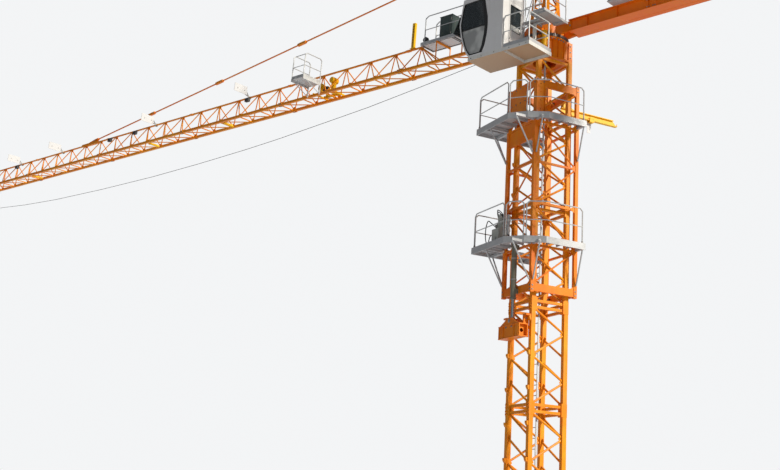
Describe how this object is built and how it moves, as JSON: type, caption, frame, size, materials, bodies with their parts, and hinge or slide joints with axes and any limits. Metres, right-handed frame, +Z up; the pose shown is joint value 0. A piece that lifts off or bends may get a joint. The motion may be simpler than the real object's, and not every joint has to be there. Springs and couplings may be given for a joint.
{
  "type": "half-scale tower crane with climbing cage",
  "caption": "Slewing tower crane at half size on a square lattice mast, with a climbing cage, tie-held lattice jib, counter-jib, tower head and side-hung cab",
  "frame": {"origin": "centre of the mast on its flat footing face at ground level", "axes": "+X along the jib at rest, +Y to the cab side, +Z up along the mast"},
  "size_m": [26.6306, 2.4238, 10.45],
  "materials": {
    "mast_paint": "gloss orange paint, dusty",
    "cage_paint": "orange paint, scuffed",
    "jib_paint": "orange paint, weathered",
    "yellow_paint": "yellow machine paint",
    "grey_paint": "grey machine paint",
    "white_paint": "white enamel",
    "galvanised": "dull galvanised",
    "ring_steel": "greased machined steel",
    "rope_steel": "greased wire",
    "rod_chrome": "hard chrome",
    "glass": "tinted glass"
  },
  "bodies": {
    "tower": {"base_frame": "mast_paint", "mast_section_1": "mast_paint", "mast_section_2": "mast_paint", "mast_section_3": "mast_paint", "mast_section_4": "mast_paint", "mast_section_5": "mast_paint", "mast_top_section": "mast_paint", "mast_ladder": "galvanised", "climbing_yoke": "cage_paint", "ram_rod": "rod_chrome", "slewing_support": "cage_paint", "slewing_ring": "ring_steel", "slew_motor": "yellow_paint"},
    "cage": {"cage_frame": "cage_paint", "guide_rollers": "ring_steel", "lower_platform": "galvanised", "lower_rails": "galvanised", "upper_platform": "galvanised", "upper_rails": "galvanised", "ram_barrel": "grey_paint", "power_pack": "grey_paint", "section_beam": "yellow_paint", "cage_collars": "yellow_paint"},
    "upper": {"turntable": "cage_paint", "tower_head": "jib_paint", "rope_sheaves": "ring_steel", "head_platform": "galvanised", "jib_section_1": "jib_paint", "jib_section_2": "jib_paint", "jib_section_3": "jib_paint", "jib_section_4": "jib_paint", "jib_section_5": "jib_paint", "jib_section_6": "jib_paint", "jib_tip": "jib_paint", "jib_post": "yellow_paint", "jib_tie": "cage_paint", "root_walkway": "galvanised", "jib_cabinet": "grey_paint", "trolley_winch": "yellow_paint", "winch_basket": "galvanised", "trolley": "cage_paint", "hook_block": "yellow_paint", "hoist_rope": "rope_steel", "counter_jib": "jib_paint", "counter_deck": "galvanised", "counter_ties": "cage_paint", "counterweights": "grey_paint", "hoist_winch": "grey_paint", "cab_frame": "white_paint", "cab_shell": "white_paint", "cab_glass": "glass", "cab_rails": "galvanised"},
    "door": {"cab_door": "white_paint", "door_window": "glass"}
  },
  "joints": [
    {"name": "jib_slew", "type": "hinge", "parent": "tower", "child": "upper", "pos_m": [0, 0, 8.3], "axis": [0, 0, 1], "continuous": true},
    {"name": "cage_climb", "type": "slide", "parent": "tower", "child": "cage", "axis": [0, 0, 1], "range_m": [-0.25, 0.28]},
    {"name": "cab_door", "type": "hinge", "parent": "upper", "child": "door", "pos_m": [0.037, 0.585, 8.2], "axis": [0, 0, 1], "range_deg": [0, 90]}
  ]
}
